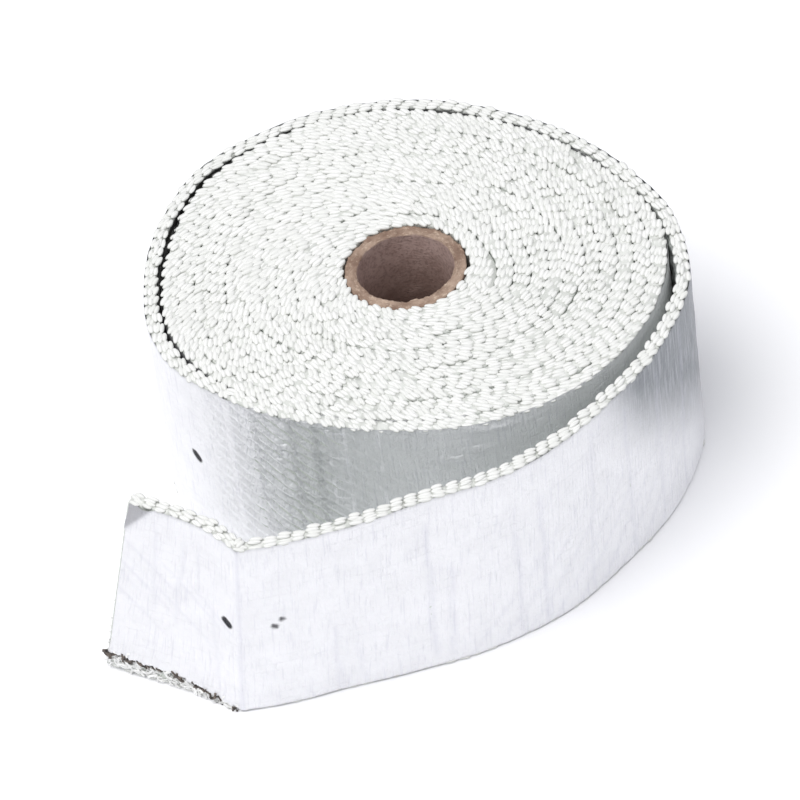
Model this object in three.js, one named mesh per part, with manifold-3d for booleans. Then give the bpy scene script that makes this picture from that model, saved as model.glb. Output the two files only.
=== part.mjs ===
import * as THREE from 'three';
import { mergeVertices } from 'three/addons/utils/BufferGeometryUtils.js';
import Module from 'manifold-3d';

// Exhaust heat wrap: glass cloth tape with foil on its outer side, wound on a paper tube.
// The roll stands on its end. Its last turn hangs loose and ends in a creased flap.
// Lengths are in millimetres and angles in degrees. The tube's axis is the Z axis.

const tapeWidth = 50;
const tapeThickness = 3.3;
const turnCount = 12;
const grooveWidth = 0.9;
const grooveDepth = 0.6;

const coreBore = 22;
const coreWall = 2.7;
const coreRecess = 1;
const coreClearance = 0.3;

// The loose turn and the tail. The slack is the widest clear gap between the coil and the turn on
// the left side, and the reach is the clear gap at the crease. Where the fused depth is given, the
// tape is sunk into the coil, so that both are one piece of material.
const fusedDepth = 0.6;
const slack = 3.6;
const tailReach = 37.3;

// Stations along the turn, from where it leaves the coil to the crease near the tape's end.
// Each is an angle about the axis and the clear gap between the coil and the tape there.
const looseTurnStations = [
  [225, -tapeThickness],
  [214, -fusedDepth],
  [202, slack * 0.5],
  [180, slack * 0.45],
  [160, slack * 0.6],
  [141, slack],
  [121, slack * 0.64],
  [96, -fusedDepth],
  [60, -fusedDepth],
  [34, -fusedDepth],
  [17, tailReach * 0.05],
  [0, tailReach * 0.135],
  [-13, tailReach * 0.185],
  [-37, tailReach * 0.206],
  [-58, tailReach * 0.28],
  [-76, tailReach * 0.405],
  [-93, tailReach * 0.53],
  [-105.6, tailReach * 0.724],
  [-117.2, tailReach],
];

// The flap past the crease is straight and folds back towards the coil.
const flapLength = 33;
const flapFold = 36;

const roundSegments = 48;
const looseTurnSteps = 84;

const coreRadius = coreBore / 2 + coreWall;
const coilBoreRadius = coreRadius + coreClearance;
const coilRadius = coilBoreRadius + turnCount * tapeThickness;

const foilMaterial = new THREE.MeshStandardMaterial({
  color: 0xd6d9da,
  roughness: 0.4,
  metalness: 0.7,
});
const paperMaterial = new THREE.MeshStandardMaterial({
  color: 0xa58f7f,
  roughness: 0.9,
  metalness: 0,
});

// A solid of revolution about the Z axis. The profile's points are (radius, height) and close
// on themselves, counter-clockwise.
function turnedSolid(profile) {
  const points = profile.map(([radius, height]) => new THREE.Vector2(radius, height));
  points.push(points[0].clone());
  return new THREE.LatheGeometry(points, roundSegments).rotateX(Math.PI / 2);
}

// The tube is cut a little shorter than the tape is wide, and stands on the same floor.
function coreTubeGeometry() {
  const height = tapeWidth - coreRecess;
  return turnedSolid([
    [coreBore / 2, 0],
    [coreRadius, 0],
    [coreRadius, height],
    [coreBore / 2, height],
  ]);
}

// One end of the coil, from the bore outwards, as (radius, depth below the end).
// Each turn is a flat crown, and a groove lies between two turns.
function coilEnd() {
  const points = [];
  for (let turn = 0; turn < turnCount; turn += 1) {
    const inside = coilBoreRadius + turn * tapeThickness;
    points.push([inside, grooveDepth]);
    points.push([inside + grooveWidth / 2, 0]);
    points.push([inside + tapeThickness - grooveWidth / 2, 0]);
  }
  points.push([coilRadius, grooveDepth]);
  return points;
}

function coilGeometry() {
  const end = coilEnd();
  const top = end.map(([radius, depth]) => [radius, tapeWidth - depth]).reverse();
  return turnedSolid([...end, ...top]);
}

function stationPoint([angle, gap]) {
  const radius = coilRadius + gap + tapeThickness;
  const turn = THREE.MathUtils.degToRad(angle);
  return new THREE.Vector2(radius * Math.cos(turn), radius * Math.sin(turn));
}

// The foil side of the tape in plan: a smooth curve to the crease, then the straight flap.
function foilLine() {
  const curve = new THREE.SplineCurve(looseTurnStations.map(stationPoint));
  const points = curve.getPoints(looseTurnSteps);
  const crease = points[points.length - 1];
  const fold = THREE.MathUtils.degToRad(flapFold);
  const flap = curve.getTangent(1).rotateAround(new THREE.Vector2(), -fold);
  points.push(crease.clone().addScaledVector(flap, flapLength));
  return points;
}

// The same line moved sideways by the tape's thickness, to the side where the coil is.
function clothLine(line) {
  const leftOf = (from, to) => {
    const along = to.clone().sub(from).normalize();
    return new THREE.Vector2(-along.y, along.x);
  };
  return line.map((point, index) => {
    const before = leftOf(line[Math.max(index - 1, 0)], line[Math.max(index, 1)]);
    const last = line.length - 1;
    const after = leftOf(line[Math.min(index, last - 1)], line[Math.min(index + 1, last)]);
    const middle = before.clone().add(after).normalize();
    return point.clone().addScaledVector(middle, -tapeThickness / middle.dot(before));
  });
}

function looseTurnGeometry() {
  const foil = foilLine();
  const outline = new THREE.Shape([...foil, ...clothLine(foil).reverse()]);
  return new THREE.ExtrudeGeometry(outline, { depth: tapeWidth, bevelEnabled: false });
}

function toSolid(wasm, geometry) {
  geometry.deleteAttribute('normal');
  geometry.deleteAttribute('uv');
  const merged = mergeVertices(geometry);
  const vertProperties = new Float32Array(merged.attributes.position.array);
  const triVerts = new Uint32Array(merged.index.array);
  return new wasm.Manifold(new wasm.Mesh({ numProp: 3, vertProperties, triVerts }));
}

function toGeometry(solid) {
  const { vertProperties, triVerts } = solid.getMesh();
  const geometry = new THREE.BufferGeometry();
  geometry.setAttribute('position', new THREE.BufferAttribute(vertProperties, 3));
  geometry.setIndex(new THREE.BufferAttribute(triVerts, 1));
  geometry.computeVertexNormals();
  return geometry;
}

// The tape is one strip, so the coil and the loose turn are joined.
function wrapTapeGeometry(wasm) {
  return toGeometry(toSolid(wasm, coilGeometry()).add(toSolid(wasm, looseTurnGeometry())));
}

const wasm = await Module();
wasm.setup();

const coreTube = new THREE.Mesh(coreTubeGeometry(), paperMaterial);
coreTube.name = 'core_tube';

const wrapTape = new THREE.Mesh(wrapTapeGeometry(wasm), foilMaterial);
wrapTape.name = 'wrap_tape';

const heatWrap = new THREE.Group();
heatWrap.add(coreTube, wrapTape);

// The origin is the middle of the roll's footprint, on the floor.
const footprint = new THREE.Box3().setFromObject(heatWrap).getCenter(new THREE.Vector3());
heatWrap.position.set(-footprint.x, -footprint.y, 0);

export default heatWrap;
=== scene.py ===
import math

import bmesh
import bpy
import numpy as np
from mathutils import Matrix, Vector


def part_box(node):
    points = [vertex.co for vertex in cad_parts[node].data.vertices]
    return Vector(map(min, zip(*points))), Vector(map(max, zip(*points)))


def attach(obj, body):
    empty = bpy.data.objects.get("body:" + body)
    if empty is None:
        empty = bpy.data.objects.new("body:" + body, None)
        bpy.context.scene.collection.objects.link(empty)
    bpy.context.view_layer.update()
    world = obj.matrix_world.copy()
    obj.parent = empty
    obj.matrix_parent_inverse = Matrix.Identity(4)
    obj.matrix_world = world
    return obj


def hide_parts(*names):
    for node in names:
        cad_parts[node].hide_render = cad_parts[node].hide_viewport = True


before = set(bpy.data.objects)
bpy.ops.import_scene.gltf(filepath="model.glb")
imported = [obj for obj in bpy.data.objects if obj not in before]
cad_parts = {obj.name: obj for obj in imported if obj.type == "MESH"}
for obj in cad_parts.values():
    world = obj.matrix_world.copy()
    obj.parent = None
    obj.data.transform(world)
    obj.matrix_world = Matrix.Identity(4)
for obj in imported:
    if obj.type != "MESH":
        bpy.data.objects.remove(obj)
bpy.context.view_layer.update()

# The roll's lengths are in millimetres about its own axis, and MM turns them into metres.
# AXIS is where that axis stands in the frame. The studio at the end is in metres.
MM = 0.001
core_low, core_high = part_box("core_tube")
AXIS = np.array([(core_low.x + core_high.x) / 2, (core_low.y + core_high.y) / 2]) / MM
TAPE_WIDTH = 50.0


# 1. The core: a brown paperboard tube wound from plies, sawn off a little short of the tape.
# Its end is a rough tan ring with torn fibres. Its bore is pale near the rim and painted darker
# further down as shade deep in the tube, with the plies' seam winding up it.
CORE_BORE_RADIUS = 11.0
CORE_RADIUS = 13.7
CORE_HEIGHT = 49.0
CORE_WALL = CORE_RADIUS - CORE_BORE_RADIUS
LIP_HEIGHT = 0.5
SEAM_DEPTH = 0.12
SEAM_RISE = 21
CORE_AROUND = 144
BORE_POINTS = 26
LIP_POINTS = 9


class Shade:
    """One socket of a material's nodes. Arithmetic on it adds Math nodes."""

    def __init__(self, finish, socket):
        self.finish, self.socket = finish, socket

    def math(self, operation, *others):
        inputs = dict(enumerate([self, *others]))
        return self.finish.add("ShaderNodeMath", {"operation": operation}, inputs)

    def __add__(self, other):
        return self.math("ADD", other)

    def __sub__(self, other):
        return self.math("SUBTRACT", other)

    def __rsub__(self, other):
        return self.finish.add("ShaderNodeMath", {"operation": "SUBTRACT"}, {0: other, 1: self})

    def __mul__(self, other):
        return self.math("MULTIPLY", other)

    def __truediv__(self, other):
        return self.math("DIVIDE", other)

    __radd__, __rmul__ = __add__, __mul__

    def step(self, low, high):
        """0 below low, 1 above high, smooth between them."""
        inputs = {"Value": self, "From Min": low, "From Max": high}
        return self.finish.add("ShaderNodeMapRange", {"interpolation_type": "SMOOTHSTEP"}, inputs)


class Finish:
    """A material and the nodes that make it."""

    def __init__(self, name, **constants):
        self.material = bpy.data.materials.new(name)
        self.material.use_nodes = True
        self.nodes = self.material.node_tree.nodes
        self.links = self.material.node_tree.links
        self.shader = self.nodes["Principled BSDF"]
        for socket, value in constants.items():
            self.shader.inputs[socket.replace("_", " ")].default_value = value

    def add(self, kind, settings=(), inputs=(), output=0):
        """Any node: its settings first, then the values or links of its sockets."""
        node = self.nodes.new(kind)
        for name, value in dict(settings).items():
            setattr(node, name, value)
        for name, value in dict(inputs).items():
            self.set(node.inputs[name], value)
        return Shade(self, node.outputs[output])

    def set(self, socket, value):
        if isinstance(value, Shade):
            self.links.new(value.socket, socket)
        elif isinstance(value, tuple) and len(value) == 3 and socket.type == "RGBA":
            socket.default_value = (*value, 1)
        else:
            socket.default_value = value

    def place(self):
        return self.add("ShaderNodeTexCoord", output="Object")

    def noise(self, where, scale, detail, rough):
        inputs = {"Vector": where, "Scale": scale, "Detail": detail, "Roughness": rough}
        return self.add("ShaderNodeTexNoise", {}, inputs)

    def blend(self, share, first, second):
        inputs = {0: share, 6: first, 7: second}
        return self.add("ShaderNodeMix", {"data_type": "RGBA"}, inputs, output=2)

    def attribute(self, name, output="Fac"):
        return self.add("ShaderNodeAttribute", {"attribute_name": name}, output=output)

    def split(self, vector):
        return [self.add("ShaderNodeSeparateXYZ", {}, {"Vector": vector}, i) for i in range(3)]

    def stretch(self, where, scale):
        return self.add("ShaderNodeMapping", {}, {"Vector": where, "Scale": scale})

    def relief(self, height, distance, strength):
        inputs = {"Height": height, "Distance": distance, "Strength": strength}
        return self.add("ShaderNodeBump", {}, inputs)

    def dress(self, **sockets):
        for socket, value in sockets.items():
            self.set(self.shader.inputs[socket.replace("_", " ")], value)
        return self.material


def mesh_piece(name, points, faces, material):
    """A smooth object at the origin from points in millimetres about the roll's axis."""
    mesh = bpy.data.meshes.new(name)
    placed = np.array(points, float).reshape(-1, 3)
    placed[:, :2] += AXIS
    mesh.from_pydata((placed * MM).tolist(), [], [list(map(int, f)) for f in faces])
    mesh.polygons.foreach_set("use_smooth", [True] * len(mesh.polygons))
    mesh.materials.append(material)
    piece = bpy.data.objects.new(name, mesh)
    bpy.context.scene.collection.objects.link(piece)
    return piece


def grid_faces(rows, columns, close_rows=False, close_columns=False):
    """Quads over a grid of points that is stored row after row."""
    row = np.arange(rows if close_rows else rows - 1)
    column = np.arange(columns if close_columns else columns - 1)
    r, c = (a.ravel() for a in np.meshgrid(row, column, indexing="ij"))
    r_next, c_next = (r + 1) % rows, (c + 1) % columns
    corners = (r * columns + c, r * columns + c_next, r_next * columns + c_next, r_next * columns + c)
    return np.stack(corners, 1)


def store(piece, name, values, kind="FLOAT"):
    """A value, or with kind FLOAT_VECTOR a vector, kept on each point for the material."""
    kept = piece.data.attributes.new(name, kind, "POINT")
    kept.data.foreach_set("value" if kind == "FLOAT" else "vector", np.ravel(values))


def face_out(piece):
    """Turns a closed mesh's faces outward."""
    shell = bmesh.new()
    shell.from_mesh(piece.data)
    bmesh.ops.recalc_face_normals(shell, faces=shell.faces)
    shell.to_mesh(piece.data)
    shell.free()


def wander(x, seed):
    """A smooth random line through x, between about -1 and 1, the same on every run."""
    draw = np.random.default_rng(seed)
    line = np.zeros_like(np.asarray(x, float))
    for i in range(6):
        pace = 1.7 ** i * draw.uniform(0.8, 1.2)
        line = line + draw.uniform(0.5, 1) / (1 + 0.6 * i) * np.sin(pace * x + draw.uniform(0, 6.28))
    return line / 1.6


paper = Finish("paperboard", Roughness=0.92, Specular_IOR_Level=0.2)
where = paper.place()
cut = paper.attribute("cut")
fibre = paper.noise(paper.stretch(where, (1, 1, 5)), 700, 4, 0.65)
mottle = paper.noise(where, 160, 5, 0.6)
speckle = paper.noise(where, 1500, 2, 0.5)
# The deep colour is painted shade, blended in by height below the rim.
shaded_deep_brown = paper.blend(mottle.step(0.3, 0.75), (0.22, 0.140, 0.115), (0.34, 0.235, 0.20))
rim_brown = paper.blend(mottle.step(0.3, 0.75), (0.44, 0.31, 0.275), (0.60, 0.45, 0.41))
height = paper.split(where)[2]
bore_brown = paper.blend(height.step(0.026, 0.047), shaded_deep_brown, rim_brown)
bore_brown = paper.blend(speckle.step(0.46, 0.64) * 0.45, bore_brown, (0.24, 0.16, 0.14))
cut_tan = paper.blend(mottle.step(0.34, 0.7), (0.25, 0.165, 0.125), (0.47, 0.35, 0.275))
cut_tan = paper.blend(fibre.step(0.5, 0.72) * 0.6, cut_tan, (0.72, 0.58, 0.46))
paper_grain = fibre * 0.6 + speckle * 0.4
paper.dress(
    Base_Color=paper.blend(cut, bore_brown, cut_tan),
    Normal=paper.relief(paper_grain, 0.0004, 0.7),
)

# The profile goes up the bore, over the ragged lip, down the outside and back under the tube.
# Each of its points is a radius, a height and how raw the board is there.
lip = np.linspace(0, 1, LIP_POINTS)
bore_heights = np.linspace(0, CORE_HEIGHT - LIP_HEIGHT, BORE_POINTS)
profile = [(CORE_BORE_RADIUS, z, 0.0) for z in bore_heights]
profile += [(CORE_BORE_RADIUS + CORE_WALL * x, CORE_HEIGHT, 1.0) for x in lip]
profile += [(CORE_RADIUS, z, 0.4) for z in bore_heights[::-1]]
profile += [(CORE_RADIUS - CORE_WALL * x, 0.0, 1.0) for x in lip[1:-1]]
turn = np.linspace(0, 2 * np.pi, CORE_AROUND, endpoint=False)
core_points, core_cut = [], []
for index, (radius, z, raw) in enumerate(profile):
    ragged = 0.22 * wander(turn * 9, 40 + index) + 0.16 * wander(turn * 23, 80 + index)
    seam = SEAM_DEPTH * np.sin(2 * np.pi * (z / SEAM_RISE + turn / (2 * np.pi))) ** 8
    ring_radius = radius + (0.10 * wander(turn * 2, 7) if raw < 1 else 0.18 * ragged) - seam
    ring_z = z + (ragged * 1.5 if raw == 1 and z > 1 else 0.0)
    ring_z = np.maximum(ring_z + np.zeros_like(turn), 0)
    core_points.append(np.stack([ring_radius * np.cos(turn), ring_radius * np.sin(turn), ring_z], 1))
    core_cut.append(np.full(CORE_AROUND, raw))
core_faces = grid_faces(len(profile), CORE_AROUND, True, True)
core = mesh_piece("paper_core", core_points, core_faces, paper.material)
store(core, "cut", np.array(core_cut))
face_out(core)
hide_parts("core_tube")
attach(core, "root")


# 2. The tape's cloth: thick woven glass tape wound on the core, its last turn loose. Its end
# peels off as a tail, with a creased flap. The winding is given as stations round the axis:
# an angle in degrees and the foil side's radius. The tape runs outwards with falling angle.
COIL_BORE = 14.0
COIL_START = -28.0
COIL_END = -140.0
TURNS = 12
TAPE_THICKNESS = 3.3
LOOSE_THICKNESS = 3.0
YARN_PITCH = 3.3
SLIP_DOWN, SLIP_UP = -0.5, 0.35
EDGE_SINK = 0.15
SLIT_LENGTH = 165
# The near black of the painted shade in the slit between the coil and the loose turn.
SLIT_SHADE_BLACK = (0.07, 0.07, 0.065)
COIL_OVAL = [
    (-140, 54.9), (-124, 53.6), (-104, 52.5), (-81, 54.7), (-58, 57.2), (-37, 58.8), (-13, 59.6),
    (6, 59.0), (17, 57.1), (24, 55.5), (37, 54.1), (49, 53.5), (60, 53.3), (70, 53.7), (93, 56.0),
    (121, 58.2), (134, 59.1), (141, 59.2), (154, 58.1), (167, 57.6), (179, 57.4), (191, 57.9),
    (202, 57.8), (209, 57.1), (215, 56.3),
]
LOOSE_TURN = [
    (220, 54.9), (215, 56.5), (209, 57.7), (202, 58.7), (191, 58.9), (179, 58.4), (167, 58.8),
    (154, 59.4), (141, 60.6), (134, 60.3), (126, 59.3), (121, 59.2), (111, 58.5), (102, 57.7),
    (93, 57.0), (86, 56.5), (79, 56.0), (70, 55.1), (60, 54.8), (49, 55.1), (37, 55.8),
    (24, 57.2), (17, 58.8), (8.6, 60.7), (0, 61.9), (-6, 62.9), (-13, 63.9), (-29, 64.2),
    (-37, 64.7), (-43, 65.0), (-49, 65.4), (-58, 67.3),
]
TAIL_BASE = [(-60.8, 68.3), (-69, 70.3), (-79, 72.5), (-86, 74.9), (-90.5, 75.8), (-97, 78.3),
             (-106, 82.9), (-109, 86.1), (-118.5, 94.8)]
TAIL_TOP = [(-62.4, 68.5), (-71, 70.9), (-76, 72.1), (-82, 73.5), (-88, 74.2), (-93, 76.5),
            (-102, 82.3), (-105.6, 84.9), (-115.9, 93.6)]
FLAP_BASE = [(-45.3, -83.3), (-52.7, -77.9), (-60.8, -73.0), (-75.1, -65.0)]
FLAP_TOP = [(-40.8, -84.2), (-46.7, -76.6), (-54.6, -70.8), (-63.6, -65.4)]
# The oval is a sum of OVAL_WAVES harmonics. The climb over the tape's start begins at a share
# of each turn, and fades within a few turns. The swells are how many layers thick the strip may
# be, more on the first turn, where it fills the wedge beside its start.
OVAL_WAVES = 8
CLIMB_FROM = 0.86
CLIMB_TURNS = 6
FIRST_TURN_SWELL = 1.95
SWELL = 1.12
# How finely the winding is sampled, and how many samples each bend is smoothed over.
COIL_SAMPLES = 540
TURN_SAMPLES = 1800
FLAP_SAMPLES = 140
THINNING_SAMPLES = 200
STATION_STEP = 0.25
TURN_SMOOTHING = 22
FLAP_SMOOTHING = 24
CREASE_SMOOTHING = 5


def smooth(line, width):
    """A running mean over an open line, width samples to each side, with its ends kept."""
    before = 2 * line[:1] - line[width:0:-1]
    after = 2 * line[-1:] - line[-2:-width - 2:-1]
    padded = np.concatenate([before, line, after])
    weight = np.hanning(2 * width + 3)[1:-1]
    weight /= weight.sum()
    if padded.ndim == 1:
        return np.convolve(padded, weight, "valid")
    return np.stack([np.convolve(c, weight, "valid") for c in padded.T], 1)


def run_length(line):
    """How far along a line each of its points lies."""
    return np.concatenate([[0], np.cumsum(np.linalg.norm(np.diff(line, axis=0), axis=1))])


def resample(line, count):
    """The same line with evenly spaced points."""
    far = run_length(line)
    return np.stack([np.interp(np.linspace(0, far[-1], count), far, c) for c in line.T], 1)


def in_plan(radius, angle):
    """Points in plan from their radii and their angles in degrees."""
    return np.stack([radius * np.cos(np.radians(angle)), radius * np.sin(np.radians(angle))], 1)


def oval_waves(angle):
    """A constant, then the cosine and sine of each harmonic, for angles in degrees."""
    turned = np.radians(angle)
    columns = [1 + 0 * turned]
    for harmonic in range(1, OVAL_WAVES + 1):
        columns += [np.cos(harmonic * turned), np.sin(harmonic * turned)]
    return np.stack(columns, 1)


def oval_radius(angle):
    """The whole coil's outer radius, from low harmonics fitted to its stations."""
    at, radius = np.array(COIL_OVAL, float).T
    terms = np.linalg.lstsq(oval_waves(at), radius, rcond=None)[0]
    return oval_waves(angle) @ terms


def layer(wound):
    """How many layers lie between the core and the foil after so many turns are wound on.
    The tape climbs over its own start near the core, and the climb fades further out."""
    share = wound % 1
    climb = np.clip((share - CLIMB_FROM) / (1 - CLIMB_FROM), 0, 1)
    climb = climb * climb * (3 - 2 * climb)
    stepped = np.clip(1 - wound / CLIMB_TURNS, 0, 1) * (climb - share)
    return 1 + wound * (TURNS - 1) / wound_turns + stepped


wound_turns = TURNS - 1 + (COIL_START - COIL_END) / 360
wound = np.linspace(0, wound_turns, int(wound_turns * COIL_SAMPLES))
angle = COIL_START - 360 * wound
per_layer = (oval_radius(angle) - COIL_BORE) / TURNS
foil_radius = COIL_BORE + per_layer * layer(wound)
inner_radius = COIL_BORE + per_layer * np.where(wound < 1, 0, layer(wound - 1))
thickest = np.where(wound < 1, FIRST_TURN_SWELL, SWELL) * per_layer
coil_thickness = np.clip(foil_radius - inner_radius, 0, thickest)
coil_line = in_plan(foil_radius, angle)


def loose_line(tail, flap):
    """The foil side in plan, from where the tape leaves the coil, past the crease, to its end."""
    stations = np.array(LOOSE_TURN + tail, float)
    at = np.arange(stations[0, 0], stations[-1, 0], -STATION_STEP)
    radius = smooth(np.interp(-at, -stations[:, 0], stations[:, 1]), TURN_SMOOTHING)
    bent = resample(np.array(flap, float), FLAP_SAMPLES)
    bent = np.concatenate([bent[:1], smooth(bent, FLAP_SMOOTHING)[1:]])
    parts = [resample(in_plan(radius, at), TURN_SAMPLES), resample(bent, FLAP_SAMPLES)[1:]]
    return smooth(np.concatenate(parts), CREASE_SMOOTHING)


loose_base, loose_top = loose_line(TAIL_BASE, FLAP_BASE), loose_line(TAIL_TOP, FLAP_TOP)

# The whole tape's foil side, lower and upper edge, and how far along the tape each point is.
base_line = np.concatenate([coil_line, loose_base])
top_line = np.concatenate([coil_line, loose_top])
loose_thickness = np.full(len(loose_base), LOOSE_THICKNESS)
thinning = np.linspace(coil_thickness[-1], LOOSE_THICKNESS, THINNING_SAMPLES)
loose_thickness[:THINNING_SAMPLES] = thinning
thickness = np.concatenate([coil_thickness, loose_thickness])
distance = run_length((base_line + top_line) / 2)
TAPE_LENGTH = distance[-1]
LEAVES_COIL = distance[len(coil_line)]
CREASE = distance[len(coil_line) + TURN_SAMPLES - 1]


def inward(line):
    """The unit normal that points from the foil side to the cloth side."""
    along = np.gradient(line, axis=0)
    along /= np.maximum(np.linalg.norm(along, axis=1, keepdims=True), 1e-9)
    return np.stack([along[:, 1], -along[:, 0]], 1)


base_normal, top_normal = inward(base_line), inward(top_line)


def read_along(s, values):
    """What two columns of values, kept at each point of the tape's line, are at s along it."""
    return np.stack([np.interp(s, distance, column) for column in values.T], -1)


def on_tape(s, height, depth):
    """Points on the tape: s along it, height above its lower edge, depth below its foil side.
    The three are arrays of one shape."""
    share = np.asarray(height / TAPE_WIDTH)[..., None]
    deep = np.asarray(depth)[..., None]
    base = read_along(s, base_line) + read_along(s, base_normal) * deep
    top = read_along(s, top_line) + read_along(s, top_normal) * deep
    plan = base * (1 - share) + top * share
    return np.concatenate([plan, np.asarray(height + 0 * s)[..., None]], -1)


def edge_height(s):
    """How high the tape's upper edge stands. The turns have slipped a little in the roll, and
    the loose turn less so."""
    slip = 0.30 * wander(s * 0.012, 3) + 0.16 * wander(s * 0.05, 4)
    held = np.clip((LEAVES_COIL - s) / 60, 0.35, 1)
    return TAPE_WIDTH + np.clip(slip, SLIP_DOWN, SLIP_UP) * held - EDGE_SINK


def in_slit(s):
    """1 along the slit between the coil and the loose turn, where shade is painted dark on the cloth
    and foil, and 0 past its ends.
    """
    opening = np.clip((s - LEAVES_COIL - 8) / 10, 0, 1)
    return opening * np.clip((LEAVES_COIL + SLIT_LENGTH - s) / 30, 0, 1)


glass = Finish("glass_cloth", Roughness=0.85, Specular_IOR_Level=0.3)
where = glass.place()
tape_vector = glass.attribute("tape", "Vector")
lengthwise = glass.split(tape_vector)[0]
patch = glass.noise(where, 90, 4, 0.6)
strand = glass.noise(glass.stretch(tape_vector, (1.6, 0.25, 1)), 3.0, 3, 0.6)
# Painted shade: the strip's top between the loops is coloured grey, with darker pits, as shade between
# the yarn loops.
valleys = (lengthwise * (2 * math.pi / YARN_PITCH)).math("SINE").step(0.2, 0.9)
pit_shade = valleys * patch.step(0.42, 0.55)
shaded = glass.blend(patch.step(0.3, 0.7), (0.66, 0.675, 0.64), (0.82, 0.83, 0.80))
dimmed = glass.blend(pit_shade * 0.35, shaded, (0.30, 0.30, 0.28))
side = glass.blend(strand.step(0.35, 0.65), (0.62, 0.65, 0.61), (0.78, 0.81, 0.77))
without_slit_shade = glass.blend(glass.attribute("edge"), side, dimmed)
glass.dress(
    Base_Color=glass.blend(glass.attribute("slit_shade"), without_slit_shade, SLIT_SHADE_BLACK),
    Normal=glass.relief(strand, 0.0004, 0.6),
)

# The strip's section. Each corner is a share of the thickness, a depth added to it, and a
# height: above the lower edge, or where it is negative, below the upper one.
SECTION = [
    (0, 0.12, 1.6), (0, 0.12, -0.9), (0, 0.30, -0.42), (0.5, 0.0, -0.33), (1, -0.25, -0.42),
    (1, -0.20, -0.9), (1, -0.20, 1.6), (1, -0.3, 0.7), (0.5, 0.0, 0.45), (0, 0.3, 0.7),
]
NEAR_CREASE = CREASE - 8
strip_at = np.concatenate([np.arange(0, NEAR_CREASE, 1.9), np.arange(NEAR_CREASE, TAPE_LENGTH, 0.6)])
strip_rings = []
for share, depth, rise in SECTION:
    height = np.where(rise < 0, edge_height(strip_at) + rise, rise + 0 * strip_at)
    deep = share * np.interp(strip_at, distance, thickness) + depth
    strip_rings.append(on_tape(strip_at, height, deep))
strip_points = np.stack(strip_rings, 1)
strip_faces = list(grid_faces(len(strip_at), len(SECTION), False, True))
last = (len(strip_at) - 1) * len(SECTION)
strip_faces += [list(range(len(SECTION))), list(range(last + len(SECTION) - 1, last - 1, -1))]
cloth = mesh_piece("cloth_tape", strip_points, strip_faces, glass.material)
tape_place = np.zeros((len(strip_at), len(SECTION), 3))
tape_place[..., 0] = strip_at[:, None]
tape_place[..., 1] = strip_points[..., 2]
store(cloth, "tape", tape_place, "FLOAT_VECTOR")
# The edge mask marks the strip's top and bottom, where the painted shade between the loops goes.
on_edge = np.array([0, 0, 0.7, 1, 0.7, 0, 0, 0.7, 1, 0.7])
store(cloth, "edge", np.tile(on_edge, (len(strip_at), 1)))
on_inner_side = np.array([0, 0, 0, 0, 0.6, 1, 1, 0.5, 0, 0])
# Painted shade: the cloth's inner side darkens along the deep slit.
store(cloth, "slit_shade", in_slit(strip_at)[:, None] * on_inner_side)
face_out(cloth)
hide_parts("wrap_tape")
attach(cloth, "root")


# 3. The cloth side of the loose turn: a plain weave of thick glass yarn, lengthwise yarns and
# crosswise ones passing over and under each other. It shows behind the tail and the flap.
WEFT_PITCH = YARN_PITCH * 0.78
YARN_RISE = 0.42
WEAVE_LOW, WEAVE_HIGH, WEAVE_ROWS = 0.9, 48.3, 80
WEAVE_STEP = 0.66
END_GAP = 0.4
# It starts so far before the place where the tape leaves the coil, so that its start is hidden.
TUCKED_IN = 20
weave = Finish("glass_weave", Roughness=0.8, Specular_IOR_Level=0.35, Sheen_Weight=0.15)
tape_vector = weave.attribute("tape", "Vector")
fine = weave.noise(weave.stretch(tape_vector, (0.8, 6.0, 1)), 2.2, 3, 0.6)
tone = weave.noise(weave.place(), 60, 3, 0.5)
white = weave.blend(tone.step(0.3, 0.7), (0.80, 0.845, 0.81), (0.89, 0.925, 0.895))
# Painted shade: the weave's hollows are coloured grey.
valley_shade = weave.split(tape_vector)[2].step(0.0, 0.11)
without_slit_shade = weave.blend(valley_shade, (0.55, 0.58, 0.545), white)
weave.dress(
    Base_Color=weave.blend(weave.attribute("slit_shade") * 0.85, without_slit_shade, SLIT_SHADE_BLACK),
    Normal=weave.relief(fine, 0.0003, 0.6),
)

weave_at = np.arange(LEAVES_COIL - TUCKED_IN, TAPE_LENGTH - END_GAP, WEAVE_STEP)
s, h = np.meshgrid(weave_at, np.linspace(WEAVE_LOW, WEAVE_HIGH, WEAVE_ROWS), indexing="ij")
s_phase, h_phase = np.pi * s / YARN_PITCH, np.pi * h / WEFT_PITCH
over = np.sign(np.sin(s_phase) * np.sin(h_phase))
crown = np.abs(np.sin(s_phase)) ** 0.6 * np.abs(np.sin(h_phase)) ** 0.6
rise = YARN_RISE * (0.28 * over * crown + 0.72 * crown)
rise += 0.16 * wander(s * 0.35 + 5 * np.sin(h * 0.2), 21)
# It is sunk a little into the strip, and deeper at its rim.
rim = np.clip(np.minimum(h - WEAVE_LOW, WEAVE_HIGH - h) / 1.6, 0, 1)
below_foil = np.interp(s, distance, thickness) + rise * rim - 0.45 + 0.30 * rim
weave_points = on_tape(s, h, below_foil)
inner_face = mesh_piece("cloth_side", weave_points, grid_faces(len(weave_at), WEAVE_ROWS),
                        weave.material)
store(inner_face, "tape", np.stack([s, h, rise * rim + 0.2 * (1 - rim)], -1), "FLOAT_VECTOR")
# Painted shade: the weave darkens along the slit, more towards the top.
store(inner_face, "slit_shade", in_slit(s) * (0.4 + 0.6 * np.clip((h - 20) / 20, 0, 1)))
inner_face.data.flip_normals()
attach(inner_face, "root")


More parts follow.
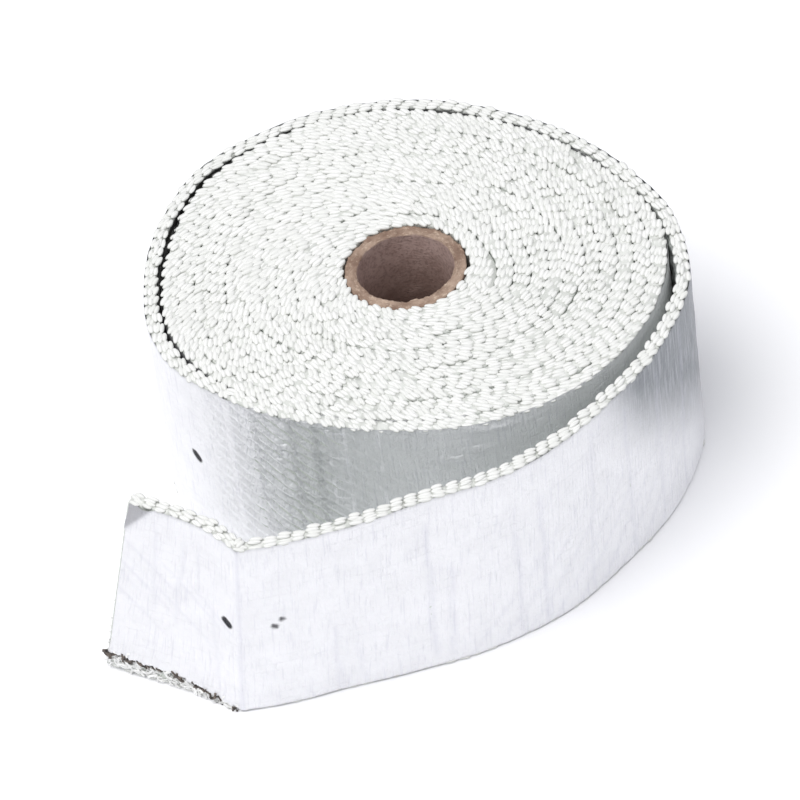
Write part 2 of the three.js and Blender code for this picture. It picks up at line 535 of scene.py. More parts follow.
# 4. The foil: aluminium foil bonded to the cloth's outer side, from just under the selvedge
# down to the lower edge. The weave prints through it, it ripples where the tape bends, and it
# has creases and small nicks. On the flap its lower edge has torn away from the cloth.
FOIL_START = LEAVES_COIL - 400
FOIL_TOP = 49.55
FOIL_ROWS = 88
PILLOW_LENGTH, PILLOW_HEIGHT = YARN_PITCH, 2.3
PRINT_DEPTH = 0.08
RIPPLE_DEPTH, RIPPLE_PITCH = 0.54, 2.45
SCRATCH_HEIGHT = 0.55
NICK_WIDTH, NICK_DEPTH = 1.0, 0.2
TAIL_FAN, FLAP_FAN = 9, 7
CORNER_PAST, CORNER_HEIGHT = 27.5, 46.5
CURL_HEIGHT, TORN_LIFT = 0.9, 0.9
FOIL_STANDS_OFF = 0.16
# Where the foil's lower edge runs, as (past the crease, height).
TEAR = [(-200, 0.15), (0, 0.3), (4, 1.9), (15.5, 4.3), (28, 5.2), (32, 5.4), (36, 5.0)]


def torn_edge(past):
    """How high the foil's lower edge stands so far past the crease."""
    return np.interp(past, *np.array(TEAR).T)


FINER_FROM = CREASE - 4
foil_at = np.concatenate([np.arange(FOIL_START, FINER_FROM, 0.92),
                          np.arange(FINER_FROM, TAPE_LENGTH - END_GAP, 0.55)])
s, v = np.meshgrid(foil_at, np.linspace(0, 1, FOIL_ROWS), indexing="ij")
past, from_coil = s - CREASE, s - LEAVES_COIL
on_flap = np.clip(past / 3, 0, 1)
foil_low = torn_edge(past)
foil_low += on_flap * (0.42 * wander(s * 1.5, 51) + 0.28 * wander(s * 4, 52))
foil_high = FOIL_TOP + 0.14 * wander(s * 0.9, 54)
foil_h = np.maximum(foil_low, 0.12) + (foil_high - foil_low) * v


def pillows(s, h):
    """The weave's print: pillows in rows, each row half a pillow on from the last."""
    row = np.floor(h / PILLOW_HEIGHT)
    along = np.abs(np.sin(np.pi * (s / PILLOW_LENGTH + 0.5 * (row % 2))))
    across = np.abs(np.sin(np.pi * h / PILLOW_HEIGHT))
    return np.minimum(along ** 0.5, across ** 0.5)


def ridge(value, width):
    """1 where the value is 0, and close to 0 a few widths away."""
    return np.exp(-((value / width) ** 2))


uneven = 0.75 + 0.35 * wander(s * 0.07 + foil_h * 0.11, 60)
relief_mm = PRINT_DEPTH * pillows(s, foil_h) * uneven
# Slanted ripples on the coil, just before the tape leaves it.
rippled = ridge(from_coil + 15, 15) * np.clip((foil_h - 2) / 10, 0, 1)
slanted = (foil_h - 0.68 * from_coil) / 1.21
slanted += 0.7 * wander(s * 0.25, 61) + 0.3 * wander(foil_h * 0.5, 62)
relief_mm += RIPPLE_DEPTH * rippled * np.sin(2 * np.pi * slanted / RIPPLE_PITCH)
relief_mm += 0.10 * wander(s * 0.12 + 0.02 * foil_h, 63) + 0.06 * wander(foil_h * 0.4 + s * 0.05, 64)
# Upright creases, as (past the crease, lean, depth, lowest, highest).
CREASES = [
    (-20.5, 0.05, 0.14, 0, 22), (-24.5, 0.12, 0.12, 0, 15), (-42.5, 0.03, 0.20, 2, 44),
    (-47.5, -0.02, 0.18, 2, 30), (-63, 0.04, 0.18, 0, 34), (-69.5, 0.03, 0.20, 0, 40),
    (-84, -0.04, 0.14, 0, 48), (-97, 0.05, 0.16, 0, 46), (-109, 0.02, 0.14, 0, 48),
    (-121, -0.03, 0.16, 0, 48), (7.5, 0.10, 0.10, 6, 30), (17, -0.04, 0.12, 18, 44),
    (23, 0.03, 0.12, 20, 46), (12, 0.0, 0.1, 28, 46),
]
crease_shade = 0.9 * ridge(past, 0.45)
for at, lean, deep, low, high in CREASES:
    line = past - at - lean * (foil_h - 25) + 0.4 * wander(foil_h * 0.3, int(500 + at))
    reach = np.clip((foil_h - low) / 3, 0, 1) * np.clip((high - foil_h) / 3, 0, 1)
    relief_mm -= deep * ridge(line, 0.95) * reach
    crease_shade = np.maximum(crease_shade, 4 * deep * ridge(line, 0.6) * reach)
# Fine slanted creases side by side: low on the tail, then across the flap.
for number in range(TAIL_FAN):
    line = (past + 52 + 7.0 * number) * 0.74 + 0.67 * (foil_h - 2)
    line += 0.3 * wander(foil_h * 0.4, 520 + number)
    fading = np.clip((30 - foil_h) / 6, 0, 1)
    relief_mm -= 0.13 * ridge(line, 0.8) * fading
    crease_shade = np.maximum(crease_shade, 0.4 * ridge(line, 0.5) * fading)
for number in range(FLAP_FAN):
    middle = 24 + 2 * wander(np.float64(number), 530)
    line = (past - 4 - 4.2 * number) * 0.62 - 0.78 * (foil_h - middle)
    fading = on_flap * ridge(foil_h - 24 - 5 * (number % 3), 8)
    relief_mm -= 0.10 * ridge(line, 0.7) * fading
    crease_shade = np.maximum(crease_shade, 0.5 * ridge(line, 0.5) * fading)
# The fold between the tail and the flap is a raised line.
relief_mm += 0.25 * ridge(past, 0.8)
# Long scratches where something has dragged along the coil, as (past the place where the tape
# leaves the coil, height, reach).
SCRATCHES = [(-54.5, 40.5, 4.5), (-60, 42.5, 3.0), (-62.5, 47.6, 6.0), (-49, 38.0, 3.0)]
for at, high, reach in SCRATCHES:
    line = foil_h - high - 0.10 * (from_coil - at)
    relief_mm += SCRATCH_HEIGHT * ridge(line, 0.55) * ridge(from_coil - at, reach)
# Nicks in the foil, sunk a little and coloured near black, as (past the crease, height, reach,
# how dark). The last is just past the place where the tape leaves the coil.
NICKS = [(3.5, 26.0, 1.7, 1), (-7.6, 25.2, 1.2, 0.55), (-9.2, 27.0, 1.0, 0.55),
         (11.0 + LEAVES_COIL - CREASE, 25.5, 1.8, 1)]
nick = np.zeros_like(s)
for at, high, reach, dark in NICKS:
    x, y = past - at, foil_h - high
    slit_along, slit_across = 0.76 * x + 0.65 * y, 0.76 * y - 0.65 * x
    hole = np.exp(-((slit_along / reach) ** 4) - ((slit_across / NICK_WIDTH) ** 2))
    nick = np.maximum(nick, dark * hole)
relief_mm = relief_mm * (1 - nick) - NICK_DEPTH * nick
# The far upper corner is folded back, and the torn lower edge stands off the cloth.
corner = np.clip((past - CORNER_PAST) * 0.75 + (foil_h - CORNER_HEIGHT) * 0.66, 0, 20)
lift = on_flap * TORN_LIFT * np.clip((foil_low + 4 - foil_h) / 4, 0, 1) ** 1.5
curl = np.sin(np.pi * np.clip(corner / 3.6, 0, 1))
foil_depth = -FOIL_STANDS_OFF - relief_mm - lift - CURL_HEIGHT * curl
# Its two edges are pressed into the cloth.
foil_depth[:, 0] += 0.30
foil_depth[:, -1] += 0.16
foil_points = on_tape(s, foil_h, foil_depth)

# Pale lines in the foil, from the place where the tape leaves the coil.
LADDER_RAILS = (-26.6, -30.4, -38.0)
RUNGS_AT, RUNG_PITCH = -28.5, 2.4
foil = Finish("aluminium_foil", Metallic=0.6, Specular_IOR_Level=0.5)
tape_vector = foil.attribute("tape", "Vector")
along, up, _ = foil.split(tape_vector)
row = up / PILLOW_HEIGHT
half_on = (row.math("FLOOR") * 0.5).math("FRACT")
pillow_along = (along / PILLOW_LENGTH + half_on).math("FRACT")
seam_along = (pillow_along - 0.5).math("ABSOLUTE").step(0.40, 0.5)
seam_up = (row.math("FRACT") - 0.5).math("ABSOLUTE").step(0.36, 0.5)
seam = seam_along.math("MAXIMUM", seam_up)
crinkle = foil.noise(tape_vector, 1.2, 4, 0.62)
haze = foil.noise(tape_vector, 0.13, 4, 0.6)
ribs = foil.noise(foil.stretch(tape_vector, (1.6, 0.12, 1)), 1.0, 3, 0.55)
printed = foil.noise(foil.stretch(tape_vector, (0.10, 0.16, 1)), 1.0, 3, 0.6).step(0.42, 0.62)
silver = foil.blend(haze.step(0.30, 0.72), (0.895, 0.895, 0.915), (0.94, 0.94, 0.96))
# Painted reflection of shade: grey, ribbed foil where the loose turn swings round the right side.
reflected_shade_silver = foil.blend(ribs.step(0.38, 0.62), (0.26, 0.275, 0.295), (0.35, 0.365, 0.385))
silver = foil.blend(foil.attribute("reflected_shade"), silver, reflected_shade_silver)
# Painted shade: faint lavender grey in the print's seams and along the ribs.
silver = foil.blend(seam * printed * 0.05, silver, (0.62, 0.62, 0.70))
silver = foil.blend(ribs.step(0.52, 0.70) * 0.30, silver, (0.66, 0.66, 0.73))
# Painted shade along the creases and the fold.
silver = foil.blend(foil.attribute("crease") * 0.34, silver, (0.60, 0.60, 0.70))
# In the wedge the foil is painted greyer as shade and reflected shade, except along pale weft lines
# that show through it like ladders with rungs.
from_leaving = along - LEAVES_COIL
in_wedge = from_leaving.step(-58, -30) * from_leaving.step(-9, -24)
rails = 0
for rail in LADDER_RAILS:
    rails = (from_leaving - rail).math("ABSOLUTE").step(0.55, 0.2) + rails
between = (from_leaving - RUNGS_AT).math("ABSOLUTE").step(2.2, 1.9)
rungs = (up / RUNG_PITCH + ribs * 0.3).math("FRACT").step(0.74, 0.84) * between
ladder = (rails + rungs).math("MINIMUM", 1) * printed
silver = foil.blend(in_wedge * (1 - ladder) * 0.32, silver, (0.42, 0.45, 0.43))
# Painted shade on the folded corner and under the loops.
silver = foil.blend(foil.attribute("rub") * 0.8, silver, (0.36, 0.36, 0.38))
silver = foil.blend(foil.attribute("slit_shade"), silver, (0.06, 0.06, 0.06))
foil.dress(
    Base_Color=foil.blend(foil.attribute("nick").step(0.15, 0.6), silver, (0.02, 0.02, 0.025)),
    Roughness=haze * 0.10 + crinkle * 0.12 + 0.34,
    Normal=foil.relief(crinkle * 0.8 + ribs * 0.8 - seam * printed * 0.15, 0.00048, 0.9),
)
facing = mesh_piece("foil_facing", foil_points, grid_faces(len(foil_at), FOIL_ROWS), foil.material)
store(facing, "tape", np.stack([s, foil_h, 0 * s], -1), "FLOAT_VECTOR")
store(facing, "nick", nick)
# Painted shade: a dark line along the foil's upper edge under the loops, and grey on the folded-back
# corner.
shade_under_loops = 0.55 * ridge(foil_high - foil_h, 0.45) * (0.75 + 0.25 * wander(s * 1.9, 55))
store(facing, "rub", np.maximum(np.clip(corner / 1.2, 0, 1), shade_under_loops))
store(facing, "crease", np.clip(crease_shade, 0, 1))
# The coil's foil is painted near black where it faces the slit, as painted shade of the deep slit.
SLIT_MIDDLE, SLIT_REACH = LEAVES_COIL - 258, 62
store(facing, "slit_shade", 0.9 * ridge(s - SLIT_MIDDLE, SLIT_REACH) ** 0.5 * (from_coil < -120))
# The foil is painted grey and ribbed high up where the loose turn swings round the roll's right side,
# between two angles about the axis, as a painted reflection of shaded surroundings.
REFLECTED_SHADE_FROM, REFLECTED_SHADE_TO = -62, 46
round_axis = np.degrees(np.arctan2(foil_points[..., 1], foil_points[..., 0]))
reflected_shade = np.clip((round_axis - REFLECTED_SHADE_FROM) / 20, 0, 1)
reflected_shade *= np.clip((foil_h + 12 + 0.8 * round_axis) / 26, 0, 1)
reflected_shade *= 0.92 * (from_coil > 150) * np.clip((REFLECTED_SHADE_TO - round_axis) / 42, 0, 1)
store(facing, "reflected_shade", reflected_shade * reflected_shade * (3 - 2 * reflected_shade))
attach(facing, "root")


# 5. The selvedges: on both of the tape's edges the weft yarn loops round and back, so the roll's
# ends are two rows of slanted white glass yarn loops to every turn of tape. Each loop is two
# strands side by side.
LOOP_PITCH = 3.15
LOOP_SIZE = (1.72, 1.10, 0.45)
LOOP_SLANT = -0.66
LOOP_SCATTER = 0.22
UPPER_SINK, LOWER_HEIGHT = 0.44, 0.64
# Four rows: how deep each lies, as a share of the tape's thickness, and how far it shifts,
# swells and rises on the loose turn. The last two are short, and fill the wedge where the tape
# climbs over its own start.
ROW_DEPTHS = (0.27, 0.76, 0.515, 0.95)
LOOSE_SHIFTS = (0.05, -0.02, 0.0, 0.0)
LOOSE_PLUMP = [(1.06, 1.06, 1.1), (1.06, 0.98, 1.15), (1, 1, 1), (1, 1, 1)]
LOOSE_LIFTS = (0.12, 0.26, 0.0, 0.0)
THIRD_FROM, FOURTH_FROM, CLIMB_END = np.interp([0.865, 0.93, 1.0], wound, distance[:len(wound)])


def grow(tree, kind, settings=(), inputs=()):
    """A node in a Geometry Nodes tree: its settings, then its sockets' values or links."""
    node = tree.nodes.new(kind)
    for name, value in dict(settings).items():
        setattr(node, name, value)
    for name, value in dict(inputs).items():
        if isinstance(value, bpy.types.NodeSocket):
            tree.links.new(value, node.inputs[name])
        else:
            node.inputs[name].default_value = value
    return node


def new_tree(name, sizes):
    """An empty tree with a geometry in and out, and a named input for each size."""
    tree = bpy.data.node_groups.new(name, "GeometryNodeTree")
    tree.interface.new_socket("Geometry", in_out="INPUT", socket_type="NodeSocketGeometry")
    for label, (kind, value) in sizes.items():
        socket = tree.interface.new_socket(label, in_out="INPUT", socket_type="NodeSocket" + kind)
        if value is not None:
            socket.default_value = value
    tree.interface.new_socket("Geometry", in_out="OUTPUT", socket_type="NodeSocketGeometry")
    return tree, tree.nodes.new("NodeGroupInput").outputs


def settle(piece, tree, values, name):
    """Runs the tree on the piece and keeps the result as a plain mesh."""
    live = piece.modifiers.new("grow", "NODES")
    live.node_group = tree
    for item in tree.interface.items_tree:
        if item.in_out == "INPUT" and item.name in values:
            live[item.identifier] = values[item.name]
    evaluated = piece.evaluated_get(bpy.context.evaluated_depsgraph_get())
    made = bpy.data.meshes.new_from_object(evaluated)
    piece.modifiers.remove(live)
    piece.data = made
    made.name = name
    return piece


loops, given = new_tree("selvedge_loops", {
    "Pitch": ("Float", LOOP_PITCH * MM),
    "Size": ("Vector", (1, 1, 1)),
    "Slant": ("Float", LOOP_SLANT),
    "Scatter": ("Float", LOOP_SCATTER * MM),
    "Seed": ("Int", 1),
    "Yarn": ("Material", None),
})
curve = grow(loops, "GeometryNodeMeshToCurve", {}, {"Mesh": given["Geometry"]})
spots = grow(loops, "GeometryNodeCurveToPoints", {"mode": "LENGTH"},
             {"Curve": curve.outputs[0], "Length": given["Pitch"]})
scatter = grow(loops, "FunctionNodeRandomValue", {"data_type": "FLOAT_VECTOR"},
               {"Min": (-1, -1, -1), "Max": (1, 1, 1), "Seed": given["Seed"]})
nudge = grow(loops, "ShaderNodeVectorMath", {"operation": "SCALE"},
             {0: scatter.outputs[0], "Scale": given["Scatter"]})
spread = grow(loops, "GeometryNodeSetPosition", {},
              {"Geometry": spots.outputs["Points"], "Offset": nudge.outputs[0]})
lean = grow(loops, "GeometryNodeInputNamedAttribute", {"data_type": "FLOAT"}, {"Name": "lean"})
tilt = grow(loops, "FunctionNodeRandomValue", {"data_type": "FLOAT"},
            {2: -0.22, 3: 0.22, "Seed": given["Seed"]})
slanted = grow(loops, "ShaderNodeMath", {"operation": "MULTIPLY_ADD"},
               {0: lean.outputs[0], 1: given["Slant"], 2: tilt.outputs[1]})
twist = grow(loops, "ShaderNodeCombineXYZ", {}, {"Z": slanted.outputs[0]})
aligned = grow(loops, "FunctionNodeAlignRotationToVector", {"axis": "X", "pivot_axis": "Z"},
               {"Vector": spots.outputs["Tangent"]})
turned = grow(loops, "FunctionNodeRotateRotation", {"rotation_space": "LOCAL"},
              {"Rotation": aligned.outputs[0]})
as_turn = grow(loops, "FunctionNodeEulerToRotation", {}, {0: twist.outputs[0]})
loops.links.new(as_turn.outputs[0], turned.inputs[1])
vary = grow(loops, "FunctionNodeRandomValue", {"data_type": "FLOAT_VECTOR"},
            {"Min": (0.88, 0.88, 0.8), "Max": (1.1, 1.12, 1.2), "Seed": given["Seed"]})
plump = grow(loops, "GeometryNodeInputNamedAttribute", {"data_type": "FLOAT_VECTOR"},
             {"Name": "plump"})
sized = grow(loops, "ShaderNodeVectorMath", {"operation": "MULTIPLY"},
             {0: vary.outputs[0], 1: given["Size"]})
plumped = grow(loops, "ShaderNodeVectorMath", {"operation": "MULTIPLY"},
               {0: sized.outputs[0], 1: plump.outputs[0]})
ball = grow(loops, "GeometryNodeMeshUVSphere", {}, {"Segments": 6, "Rings": 5, "Radius": 1.0})
pair = grow(loops, "GeometryNodeJoinGeometry")
for side in (-1, 1):
    strand_of_pair = grow(loops, "GeometryNodeTransform", {}, {
        "Geometry": ball.outputs[0], "Translation": (0.10 * side, 0.47 * side, 0),
        "Rotation": (0, math.pi / 2, 0.10), "Scale": (1, 0.66, 0.92)})
    loops.links.new(strand_of_pair.outputs[0], pair.inputs[0])
shape = grow(loops, "GeometryNodeInputPosition")
loop = grow(loops, "GeometryNodeStoreNamedAttribute", {"data_type": "FLOAT_VECTOR", "domain": "POINT"},
            {"Geometry": pair.outputs[0], "Name": "yarn", "Value": shape.outputs[0]})
placed = grow(loops, "GeometryNodeInstanceOnPoints", {}, {
    "Points": spread.outputs[0], "Instance": loop.outputs[0],
    "Rotation": turned.outputs[0], "Scale": plumped.outputs[0]})
tones = grow(loops, "FunctionNodeRandomValue", {"data_type": "FLOAT"}, {"Seed": given["Seed"]})
toned = grow(loops, "GeometryNodeStoreNamedAttribute", {"data_type": "FLOAT", "domain": "INSTANCE"},
             {"Geometry": placed.outputs[0], "Name": "tone", "Value": tones.outputs[1]})
real = grow(loops, "GeometryNodeRealizeInstances", {}, {"Geometry": toned.outputs[0]})
soft = grow(loops, "GeometryNodeSetShadeSmooth", {}, {0: real.outputs[0]})
dyed = grow(loops, "GeometryNodeSetMaterial", {},
            {"Geometry": soft.outputs[0], "Material": given["Yarn"]})
loops.links.new(dyed.outputs[0], grow(loops, "NodeGroupOutput").inputs[0])

yarn = Finish("glass_yarn", Roughness=0.78, Specular_IOR_Level=0.35, Sheen_Weight=0.2)
across, wide, tall = yarn.split(yarn.attribute("yarn", "Vector"))
loop_tone = yarn.attribute("tone")
strands = (wide * 8 + across * 3 + loop_tone * 6).math("SINE") * 0.5 + 0.5
fuzz = yarn.noise(yarn.place(), 1400, 3, 0.6)
body = yarn.blend(loop_tone, (0.82, 0.825, 0.80), (0.90, 0.90, 0.885))
body = yarn.blend(strands.step(0.0, 0.4), (0.79, 0.795, 0.77), body)
# Painted shade: each loop is greyer low down, where it meets its neighbours.
rim_shaded = yarn.blend(tall.step(0.05, 0.5), (0.66, 0.67, 0.635), body)
yarn.dress(
    Base_Color=yarn.blend(fuzz.step(0.62, 0.75) * 0.3, rim_shaded, (0.92, 0.92, 0.91)),
    Normal=yarn.relief(strands * 0.4 + fuzz * 0.6, 0.00022, 0.5),
)


def selvedge(name, upper, seed):
    """The loops of one edge: two rows along the whole tape, the second half a loop on, and the
    two short ones. They slant on the coil, least at its right, and hardly on the loose turn."""
    points, edges, leans, plumps = [], [], [], []
    guides = [(number, 0.0, TAPE_LENGTH - 1.4) for number in (0, 1)]
    guides += [(2, THIRD_FROM, CLIMB_END), (3, FOURTH_FROM, CLIMB_END)]
    for number, start, end in guides:
        at = np.arange(start + 0.8 + (number % 2) * LOOP_PITCH / 2, end, 1.1)
        through = np.interp(at, distance, thickness)
        loose = np.clip((at - LEAVES_COIL) / 30, 0, 1)
        share = ROW_DEPTHS[number] + loose * LOOSE_SHIFTS[number]
        high = edge_height(at) - UPPER_SINK if upper else LOWER_HEIGHT + 0 * at
        if upper:
            high = high + 0.07 * wander(at * 0.4, seed + number) + loose * LOOSE_LIFTS[number]
        line = on_tape(at, high, share * through)
        first = sum(map(len, points))
        points.append(line)
        edges += [(first + i, first + i + 1) for i in range(len(at) - 1)]
        side = np.degrees(np.arctan2(line[:, 1], line[:, 0]))
        upright = np.exp(-((side + 25) / 38) ** 2)
        leaning = (1 - 0.75 * upright) * (1 - 0.8 * loose)
        leans.append(leaning + 0.22 * wander(at * 0.11, 90 + number))
        tight = np.clip(through / TAPE_THICKNESS, 0.8, 1.15)
        round_up = np.array([LOOSE_PLUMP[number]]) * loose[:, None] + 1 - loose[:, None]
        round_up = round_up * tight[:, None] * (1 - 0.14 * upright * (1 - loose))[:, None]
        round_up[:, 2] = np.where(upper, round_up[:, 2], 1)
        plumps.append(round_up)
    mesh = bpy.data.meshes.new(name)
    placed = np.concatenate(points)
    placed[:, :2] += AXIS
    mesh.from_pydata((placed * MM).tolist(), edges, [])
    guide = bpy.data.objects.new(name, mesh)
    bpy.context.scene.collection.objects.link(guide)
    store(guide, "lean", np.concatenate(leans))
    store(guide, "plump", np.concatenate(plumps), "FLOAT_VECTOR")
    sizes = {"Pitch": LOOP_PITCH * MM, "Size": tuple(size * MM for size in LOOP_SIZE),
             "Slant": LOOP_SLANT, "Scatter": LOOP_SCATTER * MM, "Seed": seed,
             "Yarn": yarn.material}
    return settle(guide, loops, sizes, name)


for name, upper, seed in [("upper_selvedge", True, 11), ("lower_selvedge", False, 12)]:
    piece = selvedge(name, upper, seed)
    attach(piece, "root")


# 6. The tape's cut end and the flap's torn lower edge. Where the foil has torn off, the cloth
# shows as loose crumpled glass strands, with dark slivers of scorched foil under the tear.
TORN_STRANDS = 150
END_STRANDS = 46
# Where the slivers gather, as (past the crease, how many, how widely).
DARK_SPOTS = [
    (31.5, 11, 1.6), (27.5, 6, 1.8), (22.5, 7, 2.4), (15.5, 4, 1.4), (9.0, 11, 3.4),
    (2.0, 2, 1.2),
]
FLAP_LENGTH = TAPE_LENGTH - CREASE
ABOVE_FLOOR = 0.05
wisps, given = new_tree("loose_wisps", {
    "Length": ("Float", 2.0 * MM),
    "Thickness": ("Float", 0.2 * MM),
    "Flatness": ("Float", 1.0),
    "Seed": ("Int", 1),
    "Finish": ("Material", None),
})
dots = grow(wisps, "GeometryNodeMeshToPoints", {}, {"Mesh": given["Geometry"]})
bow = grow(wisps, "GeometryNodeCurveArc", {"mode": "RADIUS"},
           {"Resolution": 7, "Radius": 0.6, "Start Angle": -1.0, "Sweep Angle": 2.0})
centred = grow(wisps, "GeometryNodeTransform", {},
               {"Geometry": bow.outputs[0], "Translation": (-0.5, 0, 0)})
round_wire = grow(wisps, "GeometryNodeCurvePrimitiveCircle", {"mode": "RADIUS"}, {"Resolution": 5})
girth = grow(wisps, "ShaderNodeMath", {"operation": "DIVIDE"},
             {0: given["Thickness"], 1: given["Length"]})
wire_size = grow(wisps, "ShaderNodeCombineXYZ", {},
                 {"X": girth.outputs[0], "Y": girth.outputs[0], "Z": 1.0})
wire = grow(wisps, "GeometryNodeTransform", {},
            {"Geometry": round_wire.outputs[0], "Scale": wire_size.outputs[0]})
strand_mesh = grow(wisps, "GeometryNodeCurveToMesh", {}, {
    "Curve": centred.outputs[0], "Profile Curve": wire.outputs[0], "Fill Caps": True})
facing_out = grow(wisps, "GeometryNodeInputNamedAttribute", {"data_type": "FLOAT_VECTOR"},
                  {"Name": "outward"})
laid = grow(wisps, "FunctionNodeAlignRotationToVector", {"axis": "Z"},
            {"Vector": facing_out.outputs[0]})
any_way = grow(wisps, "FunctionNodeRandomValue", {"data_type": "FLOAT_VECTOR"},
               {"Min": (-0.35, -0.35, -3.14), "Max": (0.35, 0.35, 3.14), "Seed": given["Seed"]})
spun = grow(wisps, "FunctionNodeEulerToRotation", {}, {0: any_way.outputs[0]})
lying = grow(wisps, "FunctionNodeRotateRotation", {"rotation_space": "LOCAL"},
             {0: laid.outputs[0], 1: spun.outputs[0]})
how_long = grow(wisps, "FunctionNodeRandomValue", {"data_type": "FLOAT"},
                {2: 0.55, 3: 1.25, "Seed": given["Seed"]})
long_size = grow(wisps, "ShaderNodeMath", {"operation": "MULTIPLY"},
                 {0: how_long.outputs[1], 1: given["Length"]})
flat_size = grow(wisps, "ShaderNodeMath", {"operation": "MULTIPLY"},
                 {0: long_size.outputs[0], 1: given["Flatness"]})
sizes_out = grow(wisps, "ShaderNodeCombineXYZ", {}, {
    "X": long_size.outputs[0], "Y": long_size.outputs[0], "Z": flat_size.outputs[0]})
strewn = grow(wisps, "GeometryNodeInstanceOnPoints", {}, {
    "Points": dots.outputs[0], "Instance": strand_mesh.outputs[0],
    "Rotation": lying.outputs[0], "Scale": sizes_out.outputs[0]})
solid = grow(wisps, "GeometryNodeRealizeInstances", {}, {"Geometry": strewn.outputs[0]})
softened = grow(wisps, "GeometryNodeSetShadeSmooth", {}, {0: solid.outputs[0]})
coloured = grow(wisps, "GeometryNodeSetMaterial", {},
                {"Geometry": softened.outputs[0], "Material": given["Finish"]})
wisps.links.new(coloured.outputs[0], grow(wisps, "NodeGroupOutput").inputs[0])


def strew(name, past, high, out, sizes):
    """Wisps at places on the flap: past the crease, height, and out from the foil side. None
    reaches below the floor."""
    at = CREASE + np.asarray(past)
    points = on_tape(at, np.asarray(high), -np.asarray(out))
    outward = on_tape(at, np.asarray(high), -np.asarray(out) - 1) - points
    points[:, :2] += AXIS
    mesh = bpy.data.meshes.new(name)
    mesh.from_pydata((points * MM).tolist(), [], [])
    guide = bpy.data.objects.new(name, mesh)
    bpy.context.scene.collection.objects.link(guide)
    store(guide, "outward", outward, "FLOAT_VECTOR")
    piece = settle(guide, wisps, sizes, name)
    for vertex in piece.data.vertices:
        vertex.co.z = max(vertex.co.z, ABOVE_FLOOR * MM)
    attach(piece, "root")


fibre_white = Finish("loose_fibre", Roughness=0.7, Specular_IOR_Level=0.4, Sheen_Weight=0.2)
fluff = fibre_white.noise(fibre_white.place(), 900, 3, 0.6)
fibre_white.dress(
    Base_Color=fibre_white.blend(fluff.step(0.3, 0.65), (0.80, 0.80, 0.78), (0.96, 0.96, 0.95)),
    Normal=fibre_white.relief(fluff, 0.0002, 0.4),
)
scorched = Finish("scorched_foil", Roughness=0.6, Metallic=0.3)
flecks = scorched.noise(scorched.place(), 1100, 3, 0.6)
scorched.dress(
    Base_Color=scorched.blend(flecks.step(0.35, 0.65), (0.045, 0.04, 0.038), (0.20, 0.165, 0.14)),
    Normal=scorched.relief(flecks, 0.0002, 0.6),
)
draw = np.random.default_rng(77)
tear_past = draw.uniform(1.5, FLAP_LENGTH - 0.6, TORN_STRANDS)
tear_height = torn_edge(tear_past) * draw.uniform(0.3, 1, TORN_STRANDS) * 0.95
strew("torn_strands", tear_past, tear_height, draw.uniform(-0.1, 0.5, TORN_STRANDS),
      {"Length": 3.0 * MM, "Thickness": 0.26 * MM, "Seed": 5, "Finish": fibre_white.material})
end_past = np.full(END_STRANDS, FLAP_LENGTH - 0.3)
end_height = draw.uniform(0.6, 49.2, END_STRANDS)
strew("end_strands", end_past, end_height, -draw.uniform(0.2, 2.8, END_STRANDS),
      {"Length": 1.7 * MM, "Thickness": 0.2 * MM, "Seed": 6, "Finish": fibre_white.material})
gathered = [draw.normal(at, spread * 0.6, count) for at, count, spread in DARK_SPOTS]
dark_past = np.clip(np.concatenate(gathered), 0.6, FLAP_LENGTH - 0.5)
under_tear = np.abs(draw.normal(0, 0.45, len(dark_past)))
dark_height = torn_edge(dark_past) - under_tear
strew("dark_slivers", dark_past, dark_height, draw.uniform(0.45, 0.95, len(dark_past)),
      {"Length": 1.9 * MM, "Thickness": 0.3 * MM, "Seed": 8, "Finish": scorched.material})


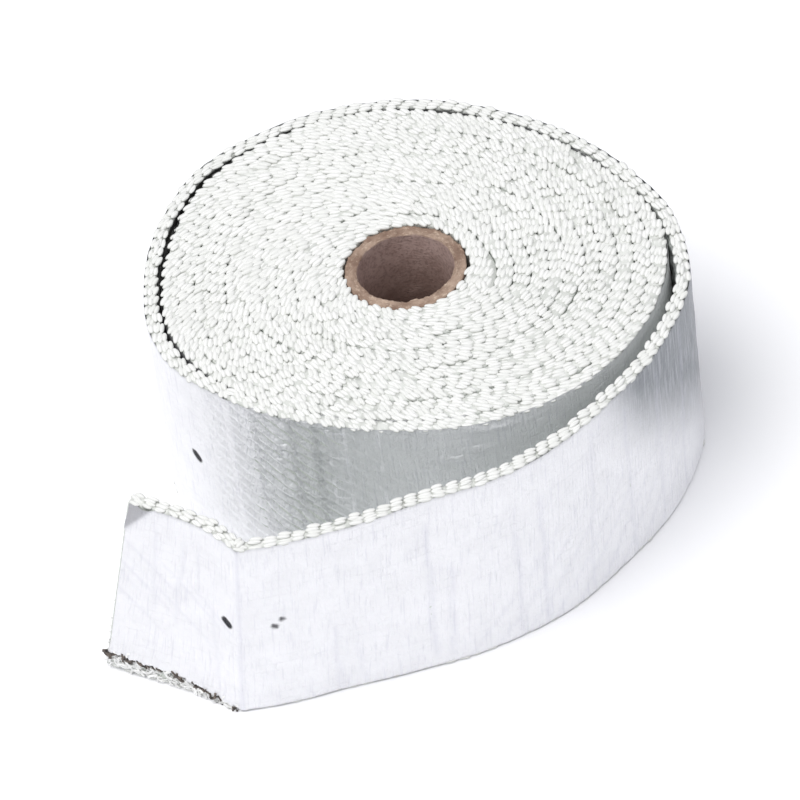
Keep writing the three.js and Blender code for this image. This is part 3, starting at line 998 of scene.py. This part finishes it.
# The studio: a plain white floor, a broad soft light high above and a little to the left in
# front, and a long-lens camera that looks down at the roll from the photograph's angle.
FLOOR_REACH = 6
SKY, SKY_STRENGTH = (0.95, 0.96, 1.0), 0.62
floor_corners = [(FLOOR_REACH * x, FLOOR_REACH * y, 0) for x, y in [(-1, -1), (1, -1), (1, 1), (-1, 1)]]
floor_mesh = bpy.data.meshes.new("floor")
floor_mesh.from_pydata(floor_corners, [], [(0, 1, 2, 3)])
floor_finish = Finish("floor_white", Roughness=0.9, Specular_IOR_Level=0.1)
floor_finish.dress(Base_Color=(0.94, 0.94, 0.955), Emission_Color=SKY, Emission_Strength=0.08)
floor_mesh.materials.append(floor_finish.material)
floor = bpy.data.objects.new("floor", floor_mesh)
bpy.context.scene.collection.objects.link(floor)

world = bpy.data.worlds.new("studio")
world.use_nodes = True
world.node_tree.nodes["Background"].inputs["Color"].default_value = (*SKY, 1)
world.node_tree.nodes["Background"].inputs["Strength"].default_value = SKY_STRENGTH
bpy.context.scene.world = world

LAMP_PLACE, LAMP_AIM = Vector((-0.42, -0.30, 1.5)), Vector((0, 0, 0.02))
LAMP_SIZE, LAMP_POWER, LAMP_TINT = 1.2, 16.5, (1.0, 0.995, 0.98)
lamp = bpy.data.lights.new("key", "AREA")
lamp.shape, lamp.size, lamp.energy, lamp.color = "DISK", LAMP_SIZE, LAMP_POWER, LAMP_TINT
lamp_holder = bpy.data.objects.new("key", lamp)
lamp_holder.location = LAMP_PLACE
lamp_holder.rotation_euler = (LAMP_AIM - LAMP_PLACE).to_track_quat("-Z", "Y").to_euler()
bpy.context.scene.collection.objects.link(lamp_holder)

LENS, SENSOR = 270, 36
CAMERA_DISTANCE = 1.3378
CAMERA_AIM = Vector((0.0, -0.003, 0.025))
AZIMUTH, ELEVATION, ROLL = (math.radians(a) for a in (2.36, 43.21, -7.92))
flat = math.cos(ELEVATION)
back = Vector((math.sin(AZIMUTH) * flat, -math.cos(AZIMUTH) * flat, math.sin(ELEVATION)))
level = (-back).cross(Vector((0, 0, 1))).normalized()
raised = level.cross(-back)
right = level * math.cos(ROLL) + raised * math.sin(ROLL)
up = raised * math.cos(ROLL) - level * math.sin(ROLL)
camera = bpy.data.objects.new("camera", bpy.data.cameras.new("camera"))
camera.data.lens, camera.data.sensor_width = LENS, SENSOR
camera.matrix_world = Matrix((right, up, back)).transposed().to_4x4()
camera.location = CAMERA_AIM + back * CAMERA_DISTANCE
bpy.context.scene.collection.objects.link(camera)
bpy.context.scene.camera = camera
bpy.context.scene.view_settings.view_transform = "Standard"
